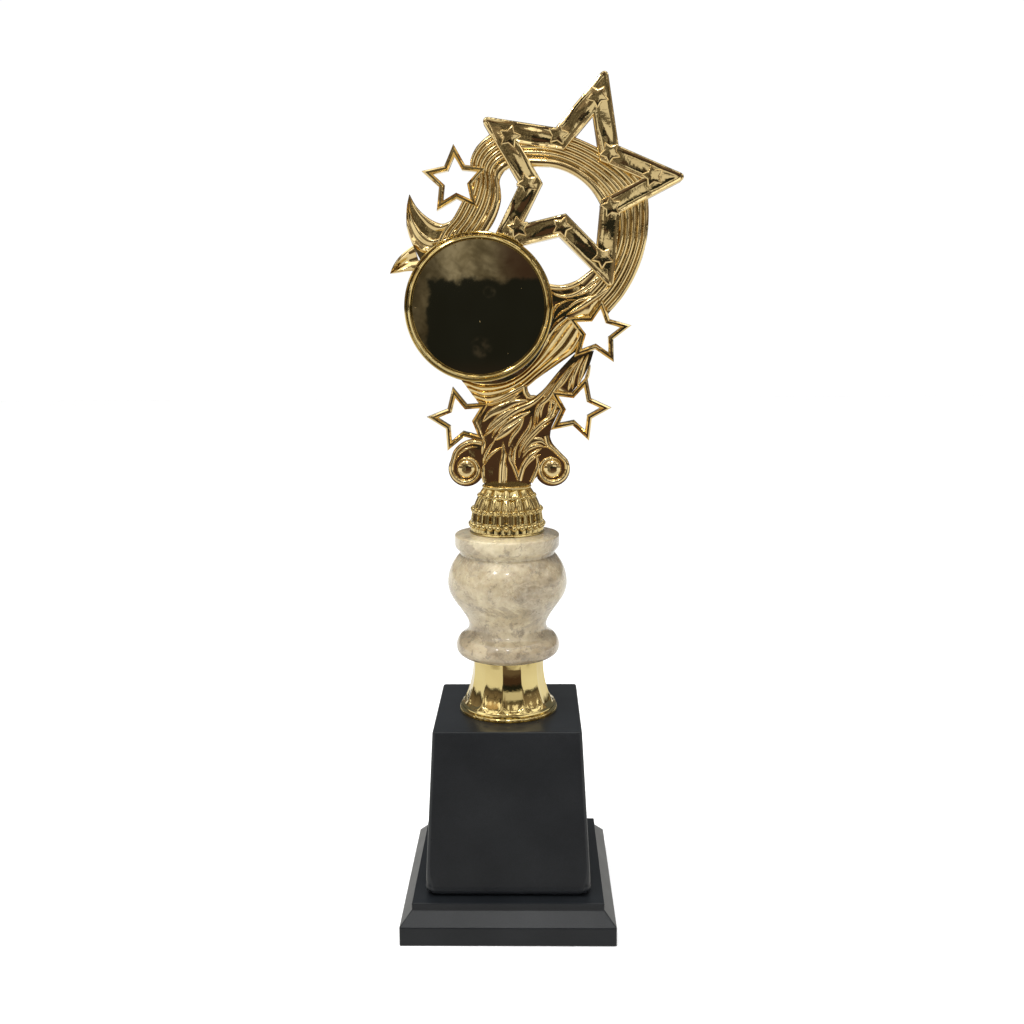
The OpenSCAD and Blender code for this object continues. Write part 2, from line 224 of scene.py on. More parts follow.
def marble():
    """Cream marble: clouds, grey-brown stains, veins, dark flecks, pale crystals and a polished coat.

    Its foot is darkened with painted shade, from FOOT_SHADE_TOP above the stone's underside down to
    FOOT_SHADE_FULL.
    """
    n = Nodes("marble")
    at = n.position()
    clouds = n.noise(30, 8, 0.66, 0.3, at=at)
    ground = n.ramp(clouds, [
        (0.36, (0.150, 0.112, 0.064)), (0.45, (0.250, 0.195, 0.113)),
        (0.52, (0.340, 0.276, 0.165)), (0.60, (0.470, 0.396, 0.248)), (0.70, (0.600, 0.526, 0.356))])
    none, full = (0, 0, 0), (1, 1, 1)
    stains = n.ramp(n.noise(62, 9, 0.74, 0.6, at=at), [(0.52, none), (0.56, full)])
    stained = n.mix(n.calc("MULTIPLY", stains, 0.62), ground, (0.170, 0.130, 0.078, 1))
    veins = n.ramp(n.noise(24, 9, 0.72, 0.9, at=at), [(0.485, none), (0.5, full), (0.515, none)])
    veined = n.mix(n.calc("MULTIPLY", veins, 0.2), stained, (0.66, 0.58, 0.41, 1))
    flecks = n.ramp(n.noise(230, 6, 0.78, at=at), [(0.55, none), (0.60, full)])
    flecked = n.mix(n.calc("MULTIPLY", flecks, 0.62), veined, (0.12, 0.09, 0.052, 1))
    sugar = n.spread(n.noise(620, 3, 0.6, at=at), -0.15, 0.4)
    sugared = n.mix(sugar, flecked, (0.60, 0.54, 0.41, 1))
    # painted shade: the colour darkens towards the stone's foot
    rise = {"Value": n.add("SeparateXYZ", {"Vector": at}).outputs["Z"]}
    rise["From Min"] = (STONE_Z + FOOT_SHADE_TOP) * MM
    rise["From Max"] = (STONE_Z + FOOT_SHADE_FULL) * MM
    foot = n.add("MapRange", rise).outputs["Result"]
    n.link(n.mix(foot, sugared, (0.80, 0.77, 0.76, 1), "MULTIPLY"), "Base Color")
    n.link(n.spread(clouds, 0.2, 0.36), "Roughness")
    n.set(Subsurface_Weight=0.03, Subsurface_Scale=0.001, Coat_Weight=0.7, Coat_Roughness=0.06)
    n.link(n.bump(n.noise(300, 4), 0.00005, 0.35), "Normal")
    return n.material


def felt():
    n = Nodes("felt")
    n.tint(n.noise(900, 4), (0.02, 0.07, 0.045), (0.05, 0.14, 0.09))
    n.set(Roughness=0.95, Sheen_Weight=0.4)
    n.link(n.bump(n.noise(2500, 3), 0.0003, 0.8), "Normal")
    return n.material


def fibreboard():
    n = Nodes("fibreboard")
    n.tint(n.noise(700, 5), (0.16, 0.10, 0.06), (0.30, 0.21, 0.13))
    n.set(Roughness=0.85)
    return n.material


def cement():
    n = Nodes("cement")
    n.tint(n.noise(160, 7, 0.7), (0.20, 0.195, 0.185), (0.36, 0.35, 0.33))
    n.set(Roughness=0.95)
    n.link(n.bump(n.noise(400, 6, 0.7), 0.0006, 0.7), "Normal")
    return n.material


def plain_metal(name, dark, pale, smoothest, roughest):
    n = Nodes(name)
    n.set(Metallic=1.0)
    n.tint(n.noise(90, 3), dark, pale)
    n.link(n.spread(n.noise(500, 3), smoothest, roughest), "Roughness")
    return n.material


GOLD = gold_plating()
# darker copies of the plating for the collar, medal holder and seat: painted shade
SHADED_ROUND_GOLD = shaded_turned_gold("shaded_turned_gold", (0.58, 0.45, 0.19), (0.68, 0.555, 0.255))
# the seat's copy is darker still: painted shade over its relief
SHADED_SEAT_GOLD = shaded_turned_gold("seat_gold_painted_shade", (0.52, 0.40, 0.17), (0.72, 0.58, 0.275))
MIRROR = mirror_floor()
BLACK = black_plastic()
MARBLE = marble()

# ---------------- geometry


def smooth(points, steps=6):
    """A smooth open curve through the points, with that many steps between two of them."""
    p = np.array(points, float)
    p = np.vstack([2 * p[0] - p[1], p, 2 * p[-1] - p[-2]])
    t = np.arange(steps)[:, None] / steps
    spans = [
        0.5 * (2 * b + (c - a) * t
               + (2 * a - 5 * b + 4 * c - d) * t**2 + (3 * b - a - 3 * c + d) * t**3)
        for a, b, c, d in zip(p[:-3], p[1:-2], p[2:-1], p[3:])
    ]
    return np.vstack(spans + [p[-2:-1]])


def direction(degrees):
    return np.array([math.cos(math.radians(degrees)), math.sin(math.radians(degrees))])


def arc(centre, radius, start, end, steps):
    return np.array([np.array(centre) + radius * direction(a) for a in np.linspace(start, end, steps + 1)])


def tube_faces(rings, around, closed_along=False):
    """Quads between rings of points, each ring closed on itself."""
    faces = []
    for i in range(rings if closed_along else rings - 1):
        a, b = i * around, (i + 1) % rings * around
        for j in range(around):
            k = (j + 1) % around
            faces.append((a + j, a + k, b + k, b + j))
    return faces


def end_faces(start, half):
    """Closes a ring whose second half runs back behind its first."""
    last = 2 * half - 1
    return [(start + j, start + j + 1, start + last - j - 1, start + last - j) for j in range(half - 1)]


def two_sided(path_a, path_b, section, lift=None):
    """A solid between two edges. section is [place from a to b, height], the same front and back."""
    place, height = np.array(section, float).T
    a, b = np.array(path_a, float), np.array(path_b, float)
    lift = np.ones(len(a)) if lift is None else np.array(lift, float)
    across = a[:, None] + (b - a)[:, None] * place[None, :, None]
    depth = height[None, :] * lift[:, None]
    front = np.stack([across[..., 0], -depth, across[..., 1]], -1)
    back = np.stack([across[..., 0], depth, across[..., 1]], -1)[:, ::-1]
    rings = np.concatenate([front, back], 1)
    count, around = rings.shape[:2]
    faces = tube_faces(count, around)
    faces += end_faces(0, around // 2) + end_faces((count - 1) * around, around // 2)
    return rings.reshape(-1, 3), faces


ROUND = [(0.5 - 0.5 * math.cos(a), math.sin(a)) for a in np.linspace(0.12, math.pi - 0.12, 8)]
STRAND_FOOT = 1.1
TAPER = 0.45

# Which ends of a strand narrow to a point
BOTH, FIRST, LAST, NEITHER = (True, True), (True, False), (False, True), (False, False)


def normals_2d(path):
    step = np.gradient(path, axis=0)
    step /= np.maximum(np.linalg.norm(step, axis=1), 1e-6)[:, None]
    return np.stack([-step[:, 1], step[:, 0]], 1)


def strand(points, width, height, pointed=BOTH):
    """A rounded ridge along a smooth line."""
    path = smooth(points)
    u = np.linspace(0, 1, len(path))
    full = np.ones(len(path))
    if pointed[0]:
        full *= np.sqrt(np.clip(u / TAPER, 0, 1))
    if pointed[1]:
        full *= np.sqrt(np.clip((1 - u) / TAPER, 0, 1))
    side = normals_2d(path) * (0.5 * width * np.maximum(full, 0.06))[:, None]
    shape = [(p, STRAND_FOOT + (height - STRAND_FOOT) * h) for p, h in ROUND]
    return two_sided(path + side, path - side, shape, 0.72 + 0.28 * full)


def ribs(widths, low, high, power, deep=0.9, steps=8):
    """A section of rounded bands with grooves between them. A negative width is a deep groove."""
    edges = np.concatenate([[0], np.cumsum(np.abs(widths))]) / np.sum(np.abs(widths))
    section = []
    for width, a, b in zip(widths, edges[:-1], edges[1:]):
        if width < 0:
            section += [(a + (b - a) * t, deep) for t in (0.15, 0.85)]
            continue
        for t in np.linspace(0, 1, steps, endpoint=False):
            section.append((a + (b - a) * t, low + (high - low) * math.sin(math.pi * t) ** power))
        section.append((b - 0.002, low))
    return section


def slopes(widths, low, high):
    """A section of broad faces that fall towards the second edge. A negative width rises instead."""
    edges = np.concatenate([[0], np.cumsum(np.abs(widths))]) / np.sum(np.abs(widths))
    section = []
    for width, a, b in zip(widths, edges[:-1], edges[1:]):
        for t in (0.02, 0.1, 0.3, 0.5, 0.7, 0.9, 0.98):
            fall = t if width > 0 else 1 - t
            section.append((a + (b - a) * t, high - (high - low) * fall**1.4))
    return section


def lathe(profile, steps, wave=None):
    """A solid turned about Z. profile is [radius, height] from the axis round to the axis."""
    rings, count = [], len(profile)
    for r, z in profile:
        for j in range(steps):
            angle = 360 * j / steps
            radius = r + (wave(angle, z, r) if wave else 0)
            x, y = radius * direction(angle)
            rings.append((x, y, z))
    faces = tube_faces(count, steps)
    if profile[0][0] > 0:
        faces.append(tuple(range(steps))[::-1])
        faces.append(tuple(range((count - 1) * steps, count * steps)))
    return np.array(rings), faces


def face_on(solid, centre):
    """Turns a solid made about Z to face the front, about that point of the figure."""
    points, faces = solid
    return np.stack([points[:, 0] + centre[0], points[:, 2], points[:, 1] + centre[1]], 1), faces


def star_outline(centre, radius, notch, turn, inset=0.0, blunt=0.0, steps=1):
    """A five-pointed star moved in by inset all round, with tips rounded to blunt.

    Its long edges are cut into steps.
    """
    dx, dy = radius - notch * math.cos(math.radians(36)), notch * math.sin(math.radians(36))
    tip = math.atan2(dy, dx)
    notch_r = notch - inset / math.sin(tip + math.radians(36))
    arc_r = max(blunt - inset, 0)
    arc_at = radius - max(blunt, inset) / math.sin(tip)
    corners = []
    for i in range(5):
        angle = turn + 72 * i
        swing = (90 - math.degrees(tip)) * np.linspace(-1, 1, 5 if blunt else 1)
        corners += [arc_at * direction(angle) + arc_r * direction(angle + a) for a in swing]
        corners.append(notch_r * direction(angle + 36))
    corners = np.array(corners) + centre
    if steps == 1:
        return corners
    points = []
    for i, (a, b) in enumerate(zip(corners, np.roll(corners, -1, axis=0))):
        count = steps if i % 6 >= 4 else 1
        points += [a + (b - a) * t / count for t in range(count)]
    return np.array(points)


def star_band(centre, radius, notch, turn, section, blunt=0.0, steps=1, ripple=None):
    """A star-shaped ring. section is [distance in from the outer edge, height], on both faces."""
    rings = []
    for side, rows in ((-1, section), (1, section[::-1])):
        for w, h in rows:
            outline = star_outline(centre, radius, notch, turn, w, blunt, steps)
            lift = [ripple(x, z, side, w) if ripple else 0 for x, z in outline]
            rings.append([(x, side * (h + up), z) for (x, z), up in zip(outline, lift)])
    return np.array(rings).reshape(-1, 3), tube_faces(len(rings), len(rings[0]), closed_along=True)


class Shell:
    """Collects closed shells into one mesh."""

    def __init__(self, name, sharp=38.0):
        self.name = name
        self.sharp = sharp
        self.points = []
        self.faces = []
        self.count = 0

    def add(self, solid, z=0.0):
        """Takes in the solid, lifted by z."""
        points, faces = solid
        self.points.append(np.array(points, float) + [0, 0, z])
        self.faces += [tuple(i + self.count for i in f) for f in faces]
        self.count += len(points)
        return self

    def build(self, material):
        mesh = bpy.data.meshes.new(self.name)
        mesh.from_pydata((np.vstack(self.points) * MM).tolist(), [], self.faces)
        return finish_piece(mesh, self.name, material, self.sharp)


def finish_piece(mesh, name, material, sharp):
    """Cleans the mesh, smooths it below the sharp angle and links it as an object."""
    b = bmesh.new()
    b.from_mesh(mesh)
    bmesh.ops.remove_doubles(b, verts=b.verts, dist=0.001 * MM)
    bmesh.ops.dissolve_degenerate(b, edges=b.edges, dist=0.001 * MM)
    bmesh.ops.recalc_face_normals(b, faces=b.faces)
    limit = math.radians(sharp)
    for face in b.faces:
        face.smooth = True
    for edge in b.edges:
        edge.smooth = len(edge.link_faces) == 2 and edge.calc_face_angle(0) < limit
    b.to_mesh(mesh)
    b.free()
    mesh.materials.clear()
    mesh.materials.append(material)
    piece = bpy.data.objects.new(name, mesh)
    bpy.context.scene.collection.objects.link(piece)
    return piece


def backing(node, thickness):
    """The CAD piece's own outline, thinned to thickness, as points and faces."""
    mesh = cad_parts[node].data
    points = np.array([v.co for v in mesh.vertices]) / MM
    half = np.abs(points[:, 1]).max()
    points[:, 1] *= thickness / 2 / half
    return points, [tuple(p.vertices) for p in mesh.polygons]


def keep(piece, slot, *nodes):
    """The piece stands for the CAD nodes and rides on the trophy's one body."""
    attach(piece, BODY)
    if nodes:
        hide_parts(*nodes)
    return piece


CUTTER_REACH = 9


def prism(name, outline):
    """A closed cutter with that outline, which goes right through the figure."""
    around = len(outline)
    points = [(x, y, z) for y in (-CUTTER_REACH, CUTTER_REACH) for x, z in outline]
    faces = tube_faces(2, around) + [tuple(range(around))[::-1], tuple(range(around, 2 * around))]
    return Shell(name).add((points, faces), FIGURE_Z).build(GOLD)


def cut(piece, cutters):
    """Takes the cutters away from the piece."""
    for cutter in cutters:
        modifier = piece.modifiers.new("cut", "BOOLEAN")
        modifier.operation = "DIFFERENCE"
        modifier.solver = "MANIFOLD"
        modifier.object = cutter
        graph = bpy.context.evaluated_depsgraph_get()
        mesh = bpy.data.meshes.new_from_object(piece.evaluated_get(graph))
        piece.modifiers.clear()
        piece.data = mesh


# ---------------- figure

STAR = dict(centre=(26.4, 114.5), radius=43.0, notch=20.8, turn=2)
STAR_BAND = 7.8
SMALL_STARS = {
    "small_star_upper_left": dict(centre=(-18.3, 115.5), turn=92.6),
    "small_star_lower_left": dict(centre=(-17.8, 25.4), turn=102.5),
    "small_star_right": dict(centre=(35.4, 58.9), turn=82.6),
    "small_star_lower_right": dict(centre=(27.8, 29.4), turn=74),
}
SMALL_R, SMALL_NOTCH, SMALL_BAND = 13.2, 6.7, 2.0
HOLDER_AT = np.array([-10.2, 68.5])
HOLDER_R = 28.5
PUFFY_FOOT, PUFFY_CREST = 2.9, 3.5
# How far out the embossed stars on each arm sit: [at the tip, at the notch after it]
PUFFY_PLACES = ((29.2, 16.7), (31.5, 18), (29.1, 17.7), (27, 17.1), (29.7, 16.5))
PUFFY_SWINGS = (1.5, 0.5, 0, 0, 1)


def puffy_star(centre, radius, turn):
    """A small embossed star on both faces: a rounded wall, then facets that rise to its middle."""
    foot, crest = PUFFY_FOOT, PUFFY_CREST
    levels = [(0, 1.0), (0, foot), (0.12, foot + 0.3), (0.36, crest - 0.1), (0.8, crest - 0.02)]
    points, faces = [], []
    for side in (-1, 1):
        base = len(points)
        for inset, h in levels:
            outline = star_outline(centre, radius, radius * 0.52, turn, inset, 0.5)
            points += [(x, side * h, z) for x, z in outline]
        points.append((centre[0], side * crest, centre[1]))
        around = 30
        faces += [tuple(base + k for k in f) for f in tube_faces(len(levels), around)]
        last, top = base + around * (len(levels) - 1), base + around * len(levels)
        faces += [(last + i, last + (i + 1) % around, top) for i in range(around)]
        faces.append(tuple(range(base, base + around)))
    return points, faces


def hollows(x, z, side, inset):
    """The uneven face of the moulding between its two rims."""
    inside = min(inset, STAR_BAND - inset)
    fade = min(max((inside - 0.5) / 1.6, 0), 1)
    slow = math.sin(0.25 * x + 1.3 * math.sin(0.14 * z) + 0.8 * side)
    slow *= math.sin(0.29 * z + 1.0 * math.sin(0.16 * x))
    quick = math.sin(0.83 * x - 0.61 * z + 1.7 * side) * math.cos(0.37 * x + 0.73 * z)
    calm = 1 - 0.85 * min(max((x - 34) / 12, 0), 1)
    return fade * calm * (0.34 * slow + 0.03 * quick)


def make_star_frame():
    shell = Shell("star_frame_plated", 30)
    edge = [(0, 2.2), (0.06, 2.7), (0.25, 3.05), (0.6, 3.2), (1.0, 3.12), (1.4, 3.0)]
    face = (2.2, 3.1, 3.9, 4.7, 5.6)
    section = edge + [(w, 3.0 + 0.12 * math.sin(math.pi * (w - 1.4) / 5)) for w in face]
    section += [(STAR_BAND - w, h) for w, h in reversed(edge)]
    shell.add(star_band(section=section, blunt=1.6, steps=20, ripple=hollows, **STAR), FIGURE_Z)
    for i, ((tip_r, notch_r), swing) in enumerate(zip(PUFFY_PLACES, PUFFY_SWINGS)):
        angle = STAR["turn"] + 72 * i
        tip_star = STAR["centre"] + tip_r * direction(angle + swing)
        notch_star = STAR["centre"] + notch_r * direction(angle + 36)
        shell.add(puffy_star(tip_star, 4.9, 102 + 23 * i), FIGURE_Z)
        shell.add(puffy_star(notch_star, 4.7, 120 + 31 * i), FIGURE_Z)
    piece = shell.build(GOLD)
    # the medal holder stands in front of the star's foot
    bore = prism("holder_bore", [HOLDER_AT + HOLDER_R * direction(a) for a in range(0, 360, 3)])
    cut(piece, [bore])
    bpy.data.objects.remove(bore)
    keep(piece, "gold_plate", "star_frame")


def make_small_stars():
    bevel = [(0, 1.5), (0.12, 1.85), (0.65, 2.42)]
    section = bevel + [(SMALL_BAND / 2, 2.47)] + [(SMALL_BAND - w, h) for w, h in reversed(bevel)]
    for name, place in SMALL_STARS.items():
        shell = Shell(name + "_plated", 20)
        shell.add(star_band(radius=SMALL_R, notch=SMALL_NOTCH, section=section, **place), FIGURE_Z)
        keep(shell.build(GOLD), "gold_plate", name)


def star_windows():
    """Cutters that clear the small stars' openings."""
    inset = SMALL_BAND - 0.4
    return [
        prism(name + "_window", star_outline(radius=SMALL_R, notch=SMALL_NOTCH, inset=inset, **place))
        for name, place in SMALL_STARS.items()
    ]


# Pairs of points, one on each edge, along each ribbon
RIBBON_STATIONS = [
    ((-28, 88), (-9, 88)), ((-24, 96.5), (-7.5, 94.5)), ((-19.6, 101.6), (-5.2, 98.8)),
    ((-16.4, 107), (-2.9, 102.8)), ((-14.2, 111.6), (-1.5, 107.4)), ((-12.5, 117.2), (-1.3, 111.5)),
    ((-12.6, 122.6), (-1.7, 115.2)), ((-10.4, 127.3), (-0.6, 118)), ((-6, 131.3), (2.4, 120)),
    ((1, 134.1), (7, 120.4)), ((10, 134.5), (13, 120.3)), ((19, 132.9), (19.5, 119.7)),
    ((28.5, 129.8), (26, 117.1)), ((38, 125.3), (31.6, 112.9)), ((46.3, 120.6), (35.7, 107.3)),
    ((52.2, 114.6), (38, 101.2)), ((54.2, 106.5), (38.8, 95)), ((54.1, 96), (38.2, 91.2)),
    ((52.5, 88), (36.6, 87.3)), ((49.5, 79.8), (34.2, 84)), ((45.1, 72.3), (31.5, 80.6)),
    ((40.2, 66.6), (28.5, 77.6)),
]
RIBBON_RIBS = [1.0, 1.0, 1.1, 1.1, 1.1, -0.35, 1.7]
CRESCENT_STATIONS = [
    ((-35.7, 110.5), (-35.9, 110.5)), ((-34.6, 108.1), (-36.8, 106.6)), ((-32.9, 105.7), (-37.2, 101.8)),
    ((-30.4, 103.2), (-36.8, 97.4)), ((-27.2, 101), (-34.8, 92.2)), ((-23.8, 99.8), (-30.5, 89)),
    ((-20.8, 100.6), (-24, 90.5)), ((-18.6, 102.6), (-17.5, 94)), ((-16.5, 106), (-11, 99)),
]
CRESCENT_SECTION = [
    (0, 1.3), (0.04, 1.9), (0.12, 2.15), (0.2, 1.95), (0.26, 1.0), (0.33, 0.5), (0.42, 0.45),
    (0.5, 1.0), (0.56, 1.95), (0.61, 2.1), (0.68, 1.8), (0.74, 1.3), (0.8, 1.3), (0.86, 1.75),
    (0.93, 2.1), (1, 1.3),
]
CRESCENT_LIFT = ([0, 0.12, 0.6, 1], [0.5, 0.95, 1, 0.75])
TAIL_STATIONS = [
    ((-43.9, 81.6), (-43.8, 81.4)), ((-42.7, 84.2), (-41.1, 81.7)), ((-40.6, 87.2), (-38.2, 82.2)),
    ((-37.8, 89.7), (-35.2, 82.4)), ((-34.8, 91.8), (-31.5, 82)),
]
TAIL_SECTION = [
    (0, 1.2), (0.08, 1.8), (0.2, 2.1), (0.3, 1.75), (0.38, 1.1), (0.5, 0.8), (0.6, 1.1),
    (0.7, 1.85), (0.82, 2.1), (0.94, 1.7), (1, 1.2),
]
TAIL_LIFT = ([0, 0.3, 1], [0.5, 1, 1])


def station_ribbon(stations, section, steps=6, lift=None):
    """A ribbon on both edges' smooth lines. lift is [places along it, how high it is there]."""
    a = smooth([s[0] for s in stations], steps)
    b = smooth([s[1] for s in stations], steps)
    if lift:
        lift = np.interp(np.linspace(0, 1, len(a)), *lift)
    return two_sided(a, b, section, lift)


# The arc under the ring's window and the leaves beside it: [line, width, height, pointed ends if not both]
JUNCTION_STRANDS = [
    ([(16.5, 76.2), (20, 75.7), (23.5, 75.9), (27, 77), (30.5, 79.3), (34, 82)], 2.1, 2.2, NEITHER),
    ([(16.8, 74.6), (20, 72.9), (23.6, 72.5), (27.5, 73.6), (32, 76.6), (36.4, 79.9)], 1.7, 2.0, FIRST),
    ([(26.5, 72.4), (30, 73.8), (33.5, 76), (37, 78.4)], 1.4, 1.9, FIRST),
    ([(34, 81.6), (36.6, 79.4), (39.6, 76.8), (38.2, 75)], 1.0, 2.3, LAST),
    ([(23.4, 65.4), (28, 67.9), (33, 71.2), (38, 74.3), (42.5, 76.8)], 2.5, 2.35),
    ([(22.5, 66.6), (27, 70.2), (31.5, 71.8), (36.5, 73.7)], 1.5, 1.9),
    ([(18.3, 64), (18.6, 66.8), (20.6, 69.4), (24, 70.9), (27.4, 71)], 1.0, 2.2),
    ([(18.9, 63.9), (21.4, 66.4), (24.6, 68.5)], 0.9, 2.1),
    ([(17.4, 66), (18.8, 68.2), (20.6, 70)], 1.1, 2.0),
    ([(17.2, 59.6), (19.7, 62.7), (22.8, 65.1)], 0.9, 2.1),
    ([(16, 55.3), (19.2, 59), (23, 62.4)], 1.0, 2.1),
    ([(14.2, 52.3), (15.9, 55.4), (17, 58.6)], 1.5, 2.1),
]
# The sloping faces under the medal holder
SWOOSH_STATIONS = [
    ((-18.2, 42.3), (-10.6, 31.9)), ((-11, 39.7), (-5.2, 30.8)), ((-2.2, 39.6), (2.2, 33.9)),
    ((5, 42.6), (7.8, 37.6)), ((9.8, 46.6), (13.6, 42.3)), ((13.4, 51.4), (19.6, 46.7)),
    ((16.2, 56.8), (25.2, 50.6)), ((19.6, 61.4), (28.6, 55.2)), ((23.8, 64.6), (30, 59.5)),
]
SWOOSH_FACES = [0.9, -0.5, 1.6, 1.5, -0.45, 1.5, 0.9]

# Flames on the stem, in the same form
STEM_STRANDS = [
    # under the swoosh: its lower edge, the hook round the slot's end and the dark step below them
    ([(7, 38.5), (2.4, 36.2), (-2.3, 33.7), (-6.2, 31.6)], 1.3, 2.2, LAST),
    ([(7.2, 38.6), (7.8, 35.8), (9.3, 34.1), (11.7, 34.6)], 1.4, 2.2, LAST),
    ([(5.5, 36), (2, 33.7), (-1.1, 31.8)], 0.8, 1.7),
    ([(5.5, 34.7), (0, 31.6), (-4.7, 29.3)], 0.9, 1.9),
    ([(9, 32.9), (3.1, 32), (-1.5, 30), (-6, 27.9), (-9.2, 24.6)], 2.6, 2.0),
    # the long blades that sweep down to the left
    ([(5.4, 30.4), (0, 28.1), (-4.3, 25), (-7.5, 21.9)], 1.5, 2.2),
    ([(2.7, 28.6), (-1.6, 26.4), (-5.5, 23.5), (-8.2, 20.6)], 1.0, 2.0),
    ([(20.9, 43.8), (16.3, 37.7), (12.8, 33.8), (8.9, 31.2), (4.3, 29.2), (0.8, 26.9), (-3.2, 23.8),
      (-6.7, 20.7), (-9.1, 18.8)], 1.7, 2.35),
    ([(3.5, 28.3), (0.4, 25.5), (-2.8, 22.7), (-4.7, 20.4), (-5.6, 18.2)], 0.9, 2.1),
    ([(9.6, 28.6), (6, 27), (2.6, 25), (-0.8, 22.6), (-3.2, 20.1)], 1.9, 2.2),
    ([(6.9, 26.3), (3.7, 23.6), (0, 20.9), (-2.8, 18.8), (-4.9, 17.4)], 2.0, 2.3),
    ([(-4.4, 17.6), (-6.8, 14.1), (-8.4, 11), (-9.2, 8.2)], 1.1, 2.1),
    ([(-1.3, 14.9), (-4.8, 12.9), (-7.2, 10.6), (-8.8, 7.4)], 1.0, 2.1),
    ([(-8.9, 8.4), (-9.3, 4.6), (-8.7, 0.7)], 1.0, 1.8, FIRST),
    # uprights between the dark pockets at the foot
    ([(-1.3, 17), (-1.0, 12.1), (-1.7, 7.4), (-2.1, 0.6)], 1.5, 2.2, FIRST),
    ([(0.3, 12.4), (-0.8, 9), (-0.4, 5.8), (-0.7, 0.6)], 1.0, 1.9, FIRST),
    ([(4.9, 1.6), (3, 7), (1.4, 10.5), (1.8, 14.6)], 1.2, 2.2, LAST),
    ([(3.7, 5.8), (2.8, 9.3), (3.2, 13.3), (4.8, 16.4)], 1.1, 2.0),
    ([(4.9, 1.6), (6.5, 6.9), (8.8, 10.5), (11.2, 12.6), (14, 14.4)], 1.5, 2.35, LAST),
    ([(6.3, 4.6), (8.2, 8.1), (11, 10.7), (13.4, 11.6)], 0.9, 1.9),
    ([(6.2, 10.4), (8.6, 13.8), (11.6, 15.2), (14.6, 15)], 1.3, 2.0),
    ([(6.5, 12.4), (8.1, 15), (10.4, 17), (13.5, 17.3), (16, 15.2)], 1.9, 1.7),
    ([(11.6, 12.4), (12.4, 8.1), (11.3, 4.5), (9.6, 0.8)], 1.1, 2.1, FIRST),
    ([(-8.7, 19.2), (-8.9, 15.3), (-9.6, 11.8)], 1.1, 2.0),
    # the central blades
    ([(20.4, 29.3), (18.2, 26.8), (14.7, 24.5), (11.2, 21.4), (8.1, 17.9), (5.7, 14), (4.9, 10.4)], 1.5, 2.4),
    ([(17.5, 24.6), (13.6, 21.9), (10.4, 19), (7.9, 15.8), (6.3, 12.4)], 1.1, 2.0),
    ([(7, 26.9), (5.4, 22.8), (2.3, 18.7), (0.9, 14.8)], 1.2, 2.2),
    ([(9.9, 26.8), (8.9, 22.2), (6.1, 18.3), (3.4, 14.4)], 1.2, 2.1),
    ([(11.5, 25.6), (10.2, 21.4), (7.4, 17.9), (5, 14.8)], 1.0, 2.0),
    # the arm up to the right small star
    ([(26.7, 47.4), (23.3, 43.4), (19.4, 38.4), (16.3, 33.8), (13.2, 31.1), (11.6, 28),
      (10.8, 22.2)], 1.5, 2.35),
    ([(16.9, 34.6), (14, 31.5), (12.5, 28.4), (12.1, 23.8)], 1.0, 2.1),
    ([(18.0, 34.6), (17.2, 31.1), (16.8, 28), (14.8, 24.3)], 1.0, 2.0),
    ([(20.1, 33), (18.6, 29.2), (16.9, 26.1), (13.1, 22.8)], 1.3, 2.2),
    ([(15.5, 32.3), (13.8, 29.6), (13.5, 26.1)], 0.8, 1.8),
    ([(28.6, 48.6), (24.8, 43.8), (21.7, 39.2), (18.4, 35.6)], 1.2, 2.1),
    ([(26.3, 43.6), (25.2, 40.3), (24.2, 36.6)], 1.2, 2.0),
    ([(30.2, 49.8), (27.9, 46), (26.3, 42.2), (25.8, 37)], 1.3, 2.2),
    ([(31.9, 50.4), (30, 46), (28.8, 41.8), (27.6, 37.4)], 1.4, 2.1),
    ([(22.9, 42.8), (20.9, 39.6), (19.6, 36.3)], 1.1, 2.0),
    ([(32.7, 46.5), (31.6, 42.3), (30.2, 39)], 1.0, 1.8),
]


RIBBON_BACKING, STEM_BACKING = 2.2, 2.5
STEM_WIDER = 1.5


def make_ribbons(cutters):
    shell = Shell("orbit_ribbon_plated", 60)
    shell.add(backing("orbit_ribbon", RIBBON_BACKING))
    shell.add(station_ribbon(RIBBON_STATIONS, ribs(RIBBON_RIBS, 1.35, 2.2, 0.6)), FIGURE_Z)
    shell.add(station_ribbon(CRESCENT_STATIONS, CRESCENT_SECTION, 8, CRESCENT_LIFT), FIGURE_Z)
    piece = shell.build(GOLD)
    cut(piece, cutters)
    keep(piece, "gold_plate", "orbit_ribbon")

    shell = Shell("tail_flame_plated")
    shell.add(station_ribbon(TAIL_STATIONS, TAIL_SECTION, 8, TAIL_LIFT), FIGURE_Z)
    keep(shell.build(GOLD), "gold_plate", "tail_flame")

    shell = Shell("swoosh_band_plated")
    shell.add(backing("swoosh_band", RIBBON_BACKING))
    shell.add(station_ribbon(SWOOSH_STATIONS, slopes(SWOOSH_FACES, 1.15, 2.2)), FIGURE_Z)
    for line, *shape in JUNCTION_STRANDS:
        shell.add(strand(line, *shape), FIGURE_Z)
    piece = shell.build(GOLD)
    cut(piece, cutters)
    keep(piece, "gold_plate", "swoosh_band")


def make_stem(cutters):
    shell = Shell("flame_stem_plated")
    shell.add(backing("flame_stem", STEM_BACKING))
    for line, width, *shape in STEM_STRANDS:
        shell.add(strand(line, STEM_WIDER * width, *shape), FIGURE_Z)
    piece = shell.build(GOLD)
    cut(piece, cutters)
    keep(piece, "gold_plate", "flame_stem")


def dome(centre, radius, height, steps=32, rings=6):
    """A round button on both faces."""
    turns = np.linspace(0, math.pi / 2, rings)[:-1]
    profile = [(radius * math.cos(t), height * math.sin(t)) for t in turns]
    profile = [(r, -h - 1) for r, h in reversed(profile)] + [(r, h + 1) for r, h in profile]
    return face_on(lathe(profile, steps), centre)


